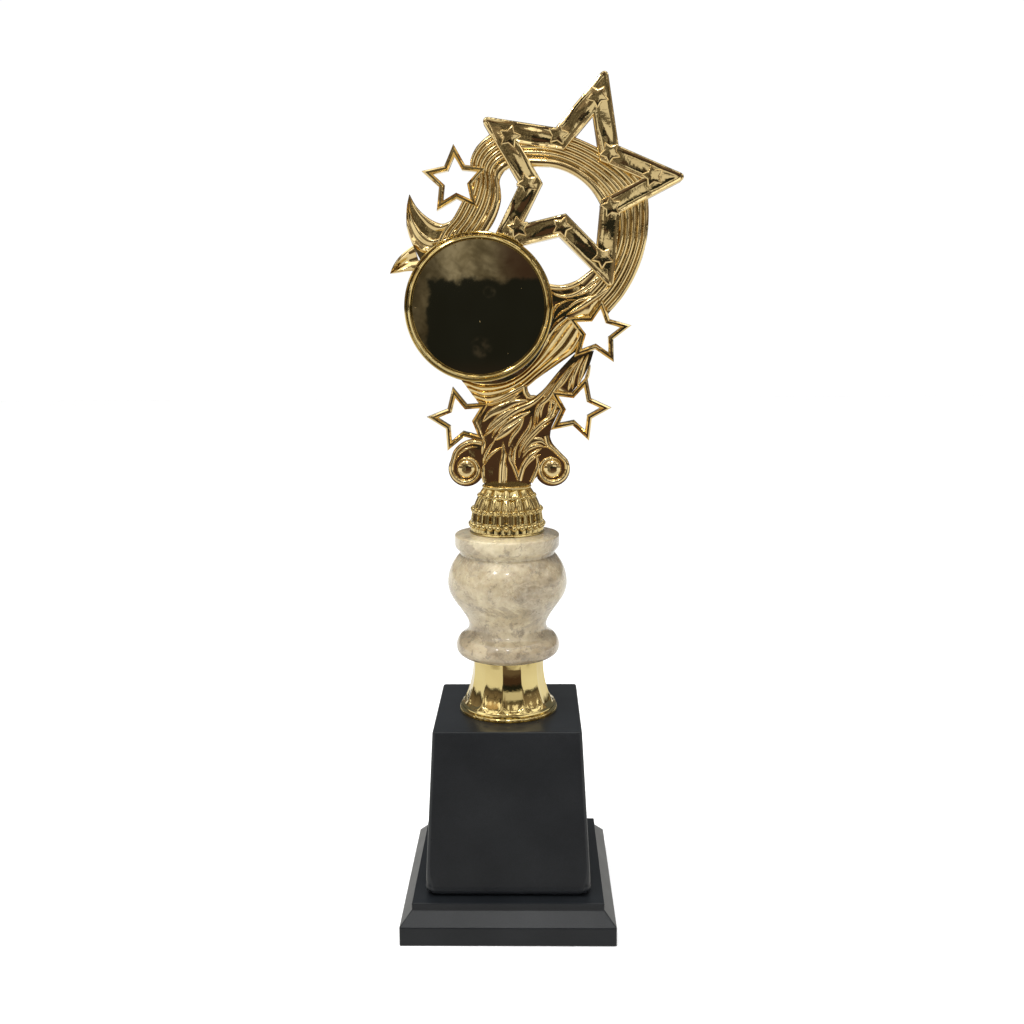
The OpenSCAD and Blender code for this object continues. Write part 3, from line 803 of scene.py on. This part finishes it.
def curl(centre, side, start, turn, start_r, end_r, steps):
    """Points along a spiral about centre. side is -1 or 1, the way the scroll faces."""
    spans = zip(np.linspace(start, start + turn, steps), np.linspace(start_r, end_r, steps))
    return [np.array(centre) + r * direction(a) * [side, 1] for a, r in spans]


SCROLL_VEIN = ((-4.4, 8.6), (-1.2, 8.4), (2.2, 6.4), (4.2, 3.2))
# [centre, the way it faces, the leaf that leads into it]
SCROLLS = {
    "scroll_left": ((-15.8, 6.2), -1, [(-9.6, 16.4), (-13.4, 16.9), (-17, 15.6), (-19.8, 13)]),
    "scroll_right": ((17.9, 6.1), 1, [(15.6, 19), (16.5, 15.6), (19.2, 13.2), (21.4, 10.9)]),
}


def make_scrolls():
    for name, (centre, side, leaf) in SCROLLS.items():
        shell = Shell(name + "_plated")
        shell.add(backing(name, STEM_BACKING))
        rim = curl(centre, side, 28, -375, 6.05, 3.6, 18)
        shell.add(strand(leaf + rim, 1.9, 2.2, LAST), FIGURE_Z)
        vein = [np.array(centre) + np.array(p) * [side, 1] for p in SCROLL_VEIN]
        shell.add(strand(vein, 1.1, 1.9), FIGURE_Z)
        shell.add(dome(centre, 3.7, 1.3), FIGURE_Z)
        keep(shell.build(GOLD), "gold_plate", name)


# A radius this small stands for the axis of a turned piece
AXIS = 0.01
ROUND_STEPS = 144


def make_medal_holder():
    # from the back round the rim and its lip to the recess
    profile = [
        (AXIS, 2.3), (22.2, 2.3), (22.6, 2.8), (27.6, 2.9), (28.2, 2.6), (28.5, 2.0), (28.5, -2.0),
        (28.44, -2.3), (28.28, -2.52), (28.05, -2.6), (27.85, -2.5), (27.75, -2.3), (27.72, -2.05),
        (27.25, -2.0), (27.22, -2.6), (27.16, -3.3), (27.02, -3.75), (26.85, -3.9), (26.78, -4.3),
        (26.66, -4.85), (26.45, -5.12), (26.25, -5.2), (26.08, -5.12), (25.94, -4.9), (25.86, -4.5),
        (25.8, -3.4), (25.7, -2.75), (25.6, -2.62), (25.6, -1.9), (AXIS, -1.9),
    ]
    shell = Shell("medal_holder_plated", 30)
    shell.add(face_on(lathe(profile, ROUND_STEPS), HOLDER_AT), FIGURE_Z)
    keep(shell.build(SHADED_ROUND_GOLD), "gold_plate", "medal_holder")

    profile = [(AXIS, -2.6), (25.3, -2.6), (25.5, -2.5), (25.5, -1.95), (AXIS, -1.95)]
    shell = Shell("medal_disc_mirror", 15)
    shell.add(face_on(lathe(profile, ROUND_STEPS), HOLDER_AT), FIGURE_Z)
    keep(shell.build(MIRROR), "mirror_disc", "medal_disc")


windows = star_windows()
make_star_frame()
make_small_stars()
make_ribbons(windows)
make_stem(windows)
make_scrolls()
make_medal_holder()
for window in windows:
    bpy.data.objects.remove(window)

# ---------------- column and base


def bead_row(shell, radius, z, count, size):
    turns = np.linspace(0.05, math.pi - 0.05, 8)
    points, faces = lathe([(size * math.sin(t), size * math.cos(t)) for t in turns], 12)
    for i in range(count):
        x, y = radius * direction(360 * i / count)
        shell.add((points + [x, y, 0], faces), z)


FLUTES = 12
FLUTE_TURN = 7


def make_collar():
    """A flared collar: flutes, a bead above the rim and a rim with a groove."""
    height = STONE_Z - COLLAR_Z
    foot, top = 19.8, 14.3
    spread, fall = foot - 1.6 - top, height - 6.0
    flare_r = (spread**2 + fall**2) / (2 * spread)
    flare = []
    for z in np.linspace(height - 3, 3.0, 52):
        drop = height - 3 - z
        flare.append((top + flare_r - math.sqrt(flare_r**2 - drop**2), z))
    profile = [(AXIS, height), (top - 0.4, height), (top, height - 0.3)] + flare
    profile += [(18.45, 2.8), (18.75, 2.7), (18.95, 2.5), (19.0, 2.2), (18.9, 1.95), (18.8, 1.8)]
    profile += [(19.0, 1.65), (19.45, 1.55), (19.7, 1.3), (19.8, 1.0), (19.7, 0.75), (19.45, 0.62)]
    profile += [(19.4, 0.5), (19.6, 0.4), (19.8, 0.3), (19.8, 0.1), (19.6, 0), (AXIS, 0)]

    def flutes(angle, z, r):
        if r < 13 or z > height - 0.2 or z < 2.9:
            return 0
        u = ((angle + 90 + FLUTE_TURN) * FLUTES / 360) % 1
        across = 1 - abs(2 * u - 1) ** 2.6
        depth = 0.3 + 0.6 * (1 - z / height)
        end = 3.2 + 2.2 * abs(2 * u - 1) ** 3
        fade = min(1, (height - 0.2 - z) / 0.6) * float(np.clip((z - end) / 0.7, 0, 1))
        return -depth * fade * across

    shell = Shell("fluted_collar_plated", 30)
    shell.add(lathe(profile, 24 * FLUTES, flutes), COLLAR_Z)
    keep(shell.build(SHADED_ROUND_GOLD), "gold_plate", "fluted_collar")


def lathe_ring(profile, steps):
    """A turned solid with a hole through it."""
    points = [(*(r * direction(360 * j / steps)), z) for r, z in profile for j in range(steps)]
    return np.array(points), tube_faces(len(profile), steps, closed_along=True)


STONE_BELLY, STONE_HOLE = 23.8, 4


def make_stone():
    """A rounded foot, a neck, a wide belly and a straight cap, drilled for the rod."""
    b, h = STONE_BELLY, SEAT_Z - STONE_Z
    foot = b - 3.1
    wall = smooth([(foot, 4.2), (foot - 0.3, 5.6), (b - 4.6, 7.6), (b - 6.6, 9), (b - 7.9, 10.7),
                   (b - 8.2, 12.7), (b - 7.7, 14.6), (b - 6.3, 17.2), (b - 4.4, 20), (b - 2.3, 23),
                   (b - 0.7, 26), (b, 29.6), (b - 0.5, 33.6), (b - 1.7, 36.9), (b - 3.6, 39.9),
                   (b - 5.0, 41.5)], 4)
    profile = [(STONE_HOLE, 0), *arc((foot - 3.4, 3.4), 3.4, -90, 0, 10), *wall]
    profile += [(b - 4.9, 42.2), (b - 4.1, 43.2), (b - 3.3, 44.2), (b - 3.05, 45)]
    profile += [(b - 3, h - 1.9), *arc((b - 3.8, h - 1.5), 0.8, 0, 80, 6), (b - 8, h), (STONE_HOLE, h)]
    shell = Shell("stone_column_polished", 50)
    shell.add(lathe_ring(profile, ROUND_STEPS), STONE_Z)
    keep(shell.build(MARBLE), "marble", "stone_column")


SEAT_UNITS = 28
SEAT_INNER = 9
# Rows of beads: [radius, height, size]
SEAT_BEADS = ((14.2, 3.4, 1.2), (13.4, 9.2, 1.05), (11.0, 14.6, 0.8))


def seat_profile(height):
    """Radius and height from the seat's underside up to its rim."""
    profile = [(AXIS, 0), (14.6, 0), (14.8, 0.2), (14.8, 0.6), (14.6, 0.85), (14.35, 1.0), (14.35, 1.15)]
    profile += [(14.6 - 0.2 * t, 1.25 + 1.9 * t) for t in np.linspace(0, 1, 7)]
    profile += [(14.3, 3.4), (14.35, 3.8), (14.4, 4.3), (14.3, 4.7)]
    profile += [(14.35 - 0.5 * t, 4.9 + 3.5 * t) for t in np.linspace(0, 1, 15)]
    profile += [(13.75, 8.6), (13.6, 9.0), (13.45, 9.4), (13.35, 9.6)]
    profile += [(13.5 - 1.9 * t**1.25, 9.75 + 4.5 * t) for t in np.linspace(0, 1, 16)]
    profile += [(11.35, 14.4), (11.2, 14.7), (11.05, 14.9)]
    profile += [(11.15 - 1.65 * t**1.2, 15.0 + 2.6 * t) for t in np.linspace(0, 1, 10)]
    profile += [(9.2, 17.65), (9.15, 17.8), (9.5, 17.85), (9.72, 18.05), (9.78, 18.3), (9.7, 18.55)]
    profile += [(9.5, 18.75), (9.2, 18.9), (9.0, height)]
    return profile + [(8.8, height), (8.7, height - 0.9), (AXIS, height - 0.9)]


def seat_relief(angle, z, r):
    """How far the seat's surface sinks: divisions, keyholes, large lobes and small ones, from the foot up."""
    if r <= SEAT_INNER:
        return 0
    unit = ((angle + 90) * SEAT_UNITS / 360 + 0.5) % 1
    pair = ((angle + 90) * SEAT_UNITS / 720 + 0.5) % 1
    if 1.2 < z < 3.2:
        return -0.5 * abs(2 * unit - 1) ** 1.5
    if 4.8 < z < 8.45:
        away = (unit - 0.5) * 3.3
        head = math.hypot(away, z - 7.5) < 0.62
        slot = abs(away) < 0.34 and 5.6 < z < 7.5
        wide = abs(away) < 0.7 and 5.6 < z < 6.1
        wall = -0.45 * (2 * unit - 1) ** 2
        if abs(pair - 0.5) < 0.25:
            hole = -1.0 if head or slot or wide else 0
        else:
            hole = -0.8 if slot or (abs(away) < 0.3 and z < 8) else 0
        return min(hole, wall)
    across = 0.5 + 0.5 * math.cos(2 * math.pi * pair)
    if 9.7 < z < 14.3:
        return -1.35 * across**1.5
    if 14.95 < z < 17.65:
        return -0.9 * across
    return 0


def make_seat():
    height = FIGURE_Z - SEAT_Z
    shell = Shell("beaded_seat_plated", 32)
    shell.add(lathe(seat_profile(height), 12 * SEAT_UNITS, seat_relief), SEAT_Z)
    for radius, z, size in SEAT_BEADS:
        bead_row(shell, radius, SEAT_Z + z, SEAT_UNITS, size)
    # the seat takes the darkest copy of the plating, as painted shade
    keep(shell.build(SHADED_SEAT_GOLD), "gold_plate", "beaded_seat")


def held(levels, gap=0.08):
    """Adds levels just inside each long step, so that shading stays flat and turns at the edges."""
    levels = [np.array(level, float) for level in levels]
    start, end = levels[0] - [0.4, 0, 0], levels[-1] - [0.4, 0, 0]
    result = [start, levels[0]]
    for a, b in zip(levels, levels[1:]):
        length = np.linalg.norm((b - a)[:2])
        if length > 1:
            result += [a + (b - a) * gap / length, b - (b - a) * gap / length]
        result.append(b)
    return result + [end]


def square_rings(levels, steps=6, gap=0.1):
    """A square solid built of level rings: levels are [half width, height, radius of the upright corners]."""
    points = []
    for half, z, r in held(levels):
        for k, (sx, sy) in enumerate(((1, 1), (-1, 1), (-1, -1), (1, -1))):
            centre = np.array([sx, sy]) * (half - r)
            corner = arc(centre, r, 90 * k, 90 * (k + 1), steps)
            along = direction(90 * k + 90) * gap
            back = direction(90 * k + 180) * gap
            for p in (corner[0] - along, *corner, corner[-1] + back):
                points.append((*p, z))
    around = 4 * (steps + 3)
    rings = len(points) // around
    faces = tube_faces(rings, around)
    faces += [tuple(range(around))[::-1], tuple(range((rings - 1) * around, rings * around))]
    return np.array(points), faces


def make_base():
    half = box_mm("plinth")[1][0]
    step, slope_top, fascia = half - 4.5, 12.4, 7.6
    r = 0.35
    # the board and the felt sit in a recess under the plinth
    recess, recess_top = box_mm("felt_pad")[1][0] + 0.2, box_mm("base_cover")[1][2] + 0.1
    levels = [(recess, recess_top), (recess, 0)]
    levels += [(half - 0.3, 0), (half, 0.3), (half, fascia - r), (half - 0.12, fascia + 0.1)]
    levels += [(step + 0.15, slope_top - 0.1), (step, slope_top + 0.25), (step, BLOCK_Z - r)]
    levels += [(step - 0.1, BLOCK_Z - 0.1), (step - r, BLOCK_Z)]
    shell = Shell("plinth_moulded", 20)
    shell.add(square_rings([(w, z, 0.5) for w, z in levels]))
    keep(shell.build(BLACK), "black_plastic", "plinth")

    high = box_mm("pedestal_block")[1]
    foot, top_z, r, taper = high[0], high[2], 2.8, 3.7
    top = foot - taper
    levels = [(w, z, 4.9 - 0.25 * (z - BLOCK_Z)) for w, z in arc((foot - r, BLOCK_Z + r), r, -90, 0, 8)]
    for rise, radius in ((4, 3.5), (6, 2.6), (9, 1.8), (13, 1.4)):
        levels.append((foot - taper * rise / 66, BLOCK_Z + rise, radius))
    levels += [(top + 0.04, top_z - 0.7, 1.3), (top - 0.09, top_z - 0.3, 1.25)]
    levels += [(top - 0.3, top_z - 0.08, 1.1), (top - 0.7, top_z, 0.8)]
    shell = Shell("pedestal_block_moulded", 24)
    shell.add(square_rings(levels))
    keep(shell.build(BLACK), "black_plastic", "pedestal_block")


make_collar()
make_stone()
make_seat()
make_base()

# ---------------- hidden pieces keep their CAD shape

HIDDEN = {
    "felt_pad": felt(), "base_cover": fibreboard(), "ballast_block": cement(),
    "tie_rod": plain_metal("zinc_steel", (0.48, 0.49, 0.52), (0.62, 0.63, 0.65), 0.25, 0.42),
    "threaded_insert": plain_metal("turned_brass", (0.62, 0.44, 0.17), (0.72, 0.53, 0.24), 0.22, 0.35),
    "figure_stub": SHADED_ROUND_GOLD,
}
HIDDEN["tie_nuts"] = HIDDEN["tie_washers"] = HIDDEN["tie_rod"]
for name, material in HIDDEN.items():
    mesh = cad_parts[name].data
    mesh.materials.clear()
    mesh.materials.append(material)

# ---------------- stage


FLOOR_HALF, FLOOR_Z = 3000, -0.05


def make_floor():
    n = Nodes("floor")
    n.set(Base_Color=(0.97, 0.97, 0.97, 1), Roughness=0.9, Specular_IOR_Level=0.1)
    shell = Shell("floor")
    corners = [(x * FLOOR_HALF, y * FLOOR_HALF, FLOOR_Z) for x, y in ((-1, -1), (1, -1), (1, 1), (-1, 1))]
    shell.add((corners, [(0, 1, 2, 3)]))
    floor = shell.build(n.material)
    floor.visible_glossy = False


# In metres
ROOM_R, ROOM_Z = 20.0, 0.24


def make_room():
    """A dome that only reflections see.

    It is bright below, around and overhead, dim between walls and ceiling, with gaps and windows.
    In front stand a mottled wall and, before it, a dark card.
    """
    n = Nodes("room")
    n.tree.nodes.remove(n.shader)
    place = n.add("TexCoord").outputs["Object"]
    unit = n.add("VectorMath", {0: place}, operation="NORMALIZE").outputs["Vector"]
    xyz = n.add("SeparateXYZ", {"Vector": unit})
    x, y, z = (xyz.outputs[k] for k in "XYZ")

    def step(value, low, high):
        node = n.add("MapRange", {"Value": value, "From Min": low, "From Max": high})
        node.interpolation_type = "SMOOTHSTEP"
        return node.outputs["Result"]

    def both(*parts):
        result = parts[0]
        for part in parts[1:]:
            result = n.calc("MULTIPLY", result, part)
        return result

    def spot(at, size):
        """1 within a soft circle of that many degrees about the direction, 0 outside it."""
        aim = Vector(at).normalized()
        near = n.add("VectorMath", {0: unit, 1: aim}, operation="DOT_PRODUCT").outputs["Value"]
        return step(near, math.cos(math.radians(1.3 * size)), math.cos(math.radians(0.7 * size)))

    # the ramp runs from straight down (0) to straight up (1), with the part below the ceiling lifted
    patches = n.noise(2.3, 3, 0.5, 0.4, at=unit)
    height = n.calc("MULTIPLY_ADD", z, 0.5, n.calc("MULTIPLY_ADD", patches, 0.10, 0.45))
    height = n.calc("MULTIPLY_ADD", step(z, 0.6, 0.3), 0.145, height)
    light = n.ramp(height, [
        (0.00, (0.85, 0.84, 0.80)), (0.36, (0.92, 0.90, 0.85)), (0.40, (0.60, 0.57, 0.50)),
        (0.43, (0.98, 0.97, 0.92)), (0.625, (1.08, 1.07, 1.02)), (0.645, (0.05, 0.042, 0.03)),
        (0.68, (0.20, 0.16, 0.125)), (0.76, (0.38, 0.31, 0.24)), (0.85, (0.19, 0.165, 0.14)),
        (0.89, (1.75, 1.71, 1.62)), (0.965, (2.0, 1.96, 1.85)), (0.985, (0.55, 0.47, 0.36)),
        (1.00, (0.40, 0.34, 0.26)),
    ])
    gaps = step(n.noise(3.4, 2, 0.4, 0.3, at=unit), 0.41, 0.35)
    above = step(z, 0.04, 0.12)
    light = n.mix(both(gaps, above, 0.85), light, (0.06, 0.05, 0.04, 1))
    shades = step(n.noise(7.5, 2, 0.5, 0.5, at=unit), 0.60, 0.64)
    light = n.mix(both(shades, above), light, (0.09, 0.07, 0.05, 1))
    windows = step(n.noise(5.2, 3, 0.55, 0.8, at=unit), 0.575, 0.60)
    light = n.mix(both(windows, above, step(y, 0.3, 0.0)), light, (1.7, 1.65, 1.52, 1))
    behind = both(step(y, 0.3, 0.6), step(z, 0.1, 0.2), step(z, 0.8, 0.7))
    light = n.mix(behind, light, (0.16, 0.17, 0.175, 1))

    # the wall widens a little towards its foot
    ahead = n.calc("MULTIPLY_ADD", step(z, -0.15, -0.3), 0.05, n.calc("MULTIPLY", y, -1.0))
    front = step(ahead, 0.88, 0.94)
    wall = n.ramp(n.noise(14, 5, 0.62, 0.6, at=unit), [
        (0.36, (0.045, 0.037, 0.026)), (0.44, (0.100, 0.089, 0.068)), (0.54, (0.165, 0.150, 0.120)),
        (0.62, (0.34, 0.32, 0.27))])
    mottle = n.ramp(n.noise(110, 4, 0.6, 0.5, at=unit), [
        (0.38, (0.72, 0.70, 0.64)), (0.62, (1.18, 1.18, 1.18))])
    wall = n.mix(1.0, wall, mottle, "MULTIPLY")
    wall = n.mix(both(spot((0.012, -1, 0.062), 2.2), 0.85), wall, (0.065, 0.038, 0.03, 1))
    wall = n.mix(step(z, -0.24, -0.30), wall, (0.26, 0.19, 0.12, 1))
    lit = both(step(x, 0.055, 0.095), step(z, 0.05, 0.08), step(z, 0.25, 0.20), 0.85)
    wall = n.mix(lit, wall, (0.92, 0.90, 0.84, 1))
    deep = step(z, -0.50, -0.40)
    light = n.mix(both(front, step(z, 0.33, 0.26), deep), light, wall)
    # the card's top and left edges are ragged
    below = step(n.calc("MULTIPLY_ADD", n.noise(70, 5, 0.62, at=unit), 0.022, z), 0.050, 0.045)
    left = step(n.calc("MULTIPLY_ADD", n.noise(60, 4, 0.6, at=unit), 0.022, x), -0.084, -0.079)
    card = n.mix(step(z, -0.03, -0.09), (0.019, 0.0215, 0.020, 1), (0.075, 0.045, 0.035, 1))
    card = n.mix(step(z, -0.18, -0.30), card, (0.17, 0.13, 0.105, 1))
    light = n.mix(both(below, left, deep, front), light, card)
    for at, size in (((0.02, -0.88, 0.47), 6), ((-0.5, -0.62, 0.6), 7), ((0.62, -0.6, 0.5), 5)):
        light = n.mix(spot(at, size), light, (1.6, 1.56, 1.46, 1))
    light = n.mix(both(spot((-0.69, -0.66, 0.30), 4), 0.6), light, (1.0, 0.72, 0.42, 1))
    for at, size, color in (
        ((-0.0365, -1, 0.0256), 0.28, (0.075, 0.074, 0.065, 1)),
        ((-0.045, -1, -0.025), 0.50, (0.065, 0.060, 0.053, 1)),
    ):
        patchy = step(n.noise(120, 3, 0.6, at=unit), 0.38, 0.66)
        light = n.mix(both(spot(at, size), patchy), light, color)
    glow = n.add("Emission", {"Color": light, "Strength": 1.0})
    n.tree.links.new(glow.outputs["Emission"], n.tree.nodes["Material Output"].inputs["Surface"])
    place = (0, 0, ROOM_Z)
    bpy.ops.mesh.primitive_uv_sphere_add(segments=48, ring_count=24, radius=ROOM_R, location=place)
    dome_object = bpy.context.object
    dome_object.name = "room"
    dome_object.data.materials.append(n.material)
    for ray in ("camera", "diffuse", "shadow", "transmission"):
        setattr(dome_object, "visible_" + ray, False)


def make_light(name, at, target, size, power):
    data = bpy.data.lights.new(name, "AREA")
    data.shape = "RECTANGLE"
    data.size, data.size_y = size[0] * MM, size[1] * MM
    data.energy = power
    lamp = bpy.data.objects.new(name, data)
    bpy.context.scene.collection.objects.link(lamp)
    lamp.location = Vector(at) * MM
    lamp.rotation_euler = (Vector(target) * MM - lamp.location).to_track_quat("-Z", "Y").to_euler()
    return lamp


def make_world():
    world = bpy.data.worlds.new("studio")
    world.use_nodes = True
    background = world.node_tree.nodes["Background"]
    background.inputs["Color"].default_value = (1, 1, 1, 1)
    background.inputs["Strength"].default_value = 1.03
    bpy.context.scene.world = world


make_floor()
make_room()
make_light("lamp_left", (-425, -734, 990), (0, 0, 140), (110, 110), 0.8)
make_light("lamp_front", (0, -850, 990), (0, 0, 140), (110, 110), 0.8)
top_light = make_light("top_light", (-150, -250, 1100), (0, 0, 200), (900, 700), 12)
top_light.visible_glossy = False
make_world()
bpy.context.scene.view_settings.view_transform = "Standard"
